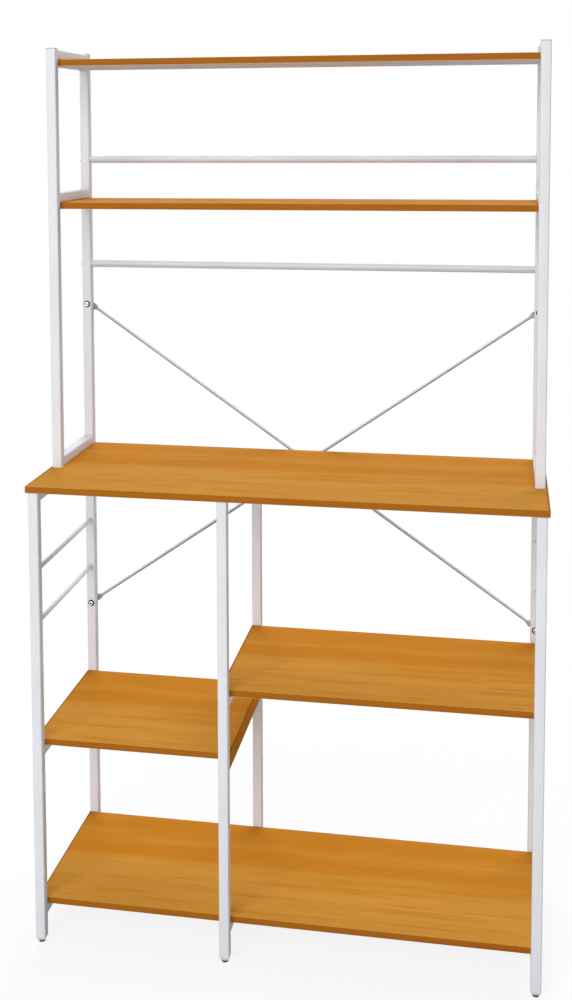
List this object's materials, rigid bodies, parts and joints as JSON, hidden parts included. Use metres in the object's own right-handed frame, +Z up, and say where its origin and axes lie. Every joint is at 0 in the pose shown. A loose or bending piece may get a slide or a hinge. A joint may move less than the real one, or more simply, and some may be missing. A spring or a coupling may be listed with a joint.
{
  "type": "kitchen shelf",
  "caption": "Free-standing kitchen rack: white square-tube frames with offset wood shelves under a desktop, and a hutch with shelves, hook rails and an X-braced back.",
  "frame": {"origin": "on the floor, below the middle of the whole object's box", "axes": "+Z up, +X to the right as seen from the front, the front faces -Y"},
  "size_m": [0.9, 0.3628, 1.61],
  "materials": {
    "frame_paint": "white satin powder coat",
    "board": "honey coloured wood grain foil, satin, with a darker edge band",
    "zinc": "bright zinc plate",
    "white_plastic": "white moulded plastic",
    "glide": "dark grey moulded plastic"
  },
  "bodies": {
    "rack": {"board_screws": "zinc", "bottom_shelf": "board", "brace_rivet": "zinc", "brace_spacers": "zinc", "desktop": "board", "falling_brace": "frame_paint", "frame_bolts": "zinc", "hutch_bolts": "zinc", "hutch_left_back_post": "frame_paint", "hutch_left_bottom_bar": "frame_paint", "hutch_left_front_post": "frame_paint", "hutch_left_middle_bar": "frame_paint", "hutch_left_top_bar": "frame_paint", "hutch_right_back_post": "frame_paint", "hutch_right_bottom_bar": "frame_paint", "hutch_right_front_post": "frame_paint", "hutch_right_middle_bar": "frame_paint", "hutch_right_top_bar": "frame_paint", "hutch_shelf": "board", "hutch_shelf_screws": "zinc", "left_back_leg": "frame_paint", "left_base_bar": "frame_paint", "left_desk_bar": "frame_paint", "left_front_leg": "frame_paint", "left_hook_rods": "frame_paint", "left_shelf": "board", "left_shelf_bar": "frame_paint", "leg_plugs": "white_plastic", "lower_rail": "frame_paint", "middle_back_leg": "frame_paint", "middle_base_bar": "frame_paint", "middle_front_leg": "frame_paint", "middle_high_shelf_bar": "frame_paint", "middle_low_shelf_bar": "frame_paint", "nuts": "zinc", "post_caps": "white_plastic", "right_back_leg": "frame_paint", "right_base_bar": "frame_paint", "right_desk_bar": "frame_paint", "right_front_leg": "frame_paint", "right_hook_rods": "frame_paint", "right_shelf": "board", "right_shelf_bar": "frame_paint", "rising_brace": "frame_paint", "top_shelf": "board", "upper_rail": "frame_paint"},
    "left_front_foot": {"left_front_foot_pad": "glide", "left_front_foot_stud": "zinc"},
    "left_back_foot": {"left_back_foot_pad": "glide", "left_back_foot_stud": "zinc"},
    "middle_front_foot": {"middle_front_foot_pad": "glide", "middle_front_foot_stud": "zinc"},
    "middle_back_foot": {"middle_back_foot_pad": "glide", "middle_back_foot_stud": "zinc"},
    "right_front_foot": {"right_front_foot_pad": "glide", "right_front_foot_stud": "zinc"},
    "right_back_foot": {"right_back_foot_pad": "glide", "right_back_foot_stud": "zinc"}
  },
  "joints": [
    {"name": "left_front_foot_level", "type": "slide", "parent": "rack", "child": "left_front_foot", "axis": [0, 0, -1], "range_m": [0, 0.01]},
    {"name": "left_back_foot_level", "type": "slide", "parent": "rack", "child": "left_back_foot", "axis": [0, 0, -1], "range_m": [0, 0.01]},
    {"name": "middle_front_foot_level", "type": "slide", "parent": "rack", "child": "middle_front_foot", "axis": [0, 0, -1], "range_m": [0, 0.01]},
    {"name": "middle_back_foot_level", "type": "slide", "parent": "rack", "child": "middle_back_foot", "axis": [0, 0, -1], "range_m": [0, 0.01]},
    {"name": "right_front_foot_level", "type": "slide", "parent": "rack", "child": "right_front_foot", "axis": [0, 0, -1], "range_m": [0, 0.01]},
    {"name": "right_back_foot_level", "type": "slide", "parent": "rack", "child": "right_back_foot", "axis": [0, 0, -1], "range_m": [0, 0.01]}
  ]
}
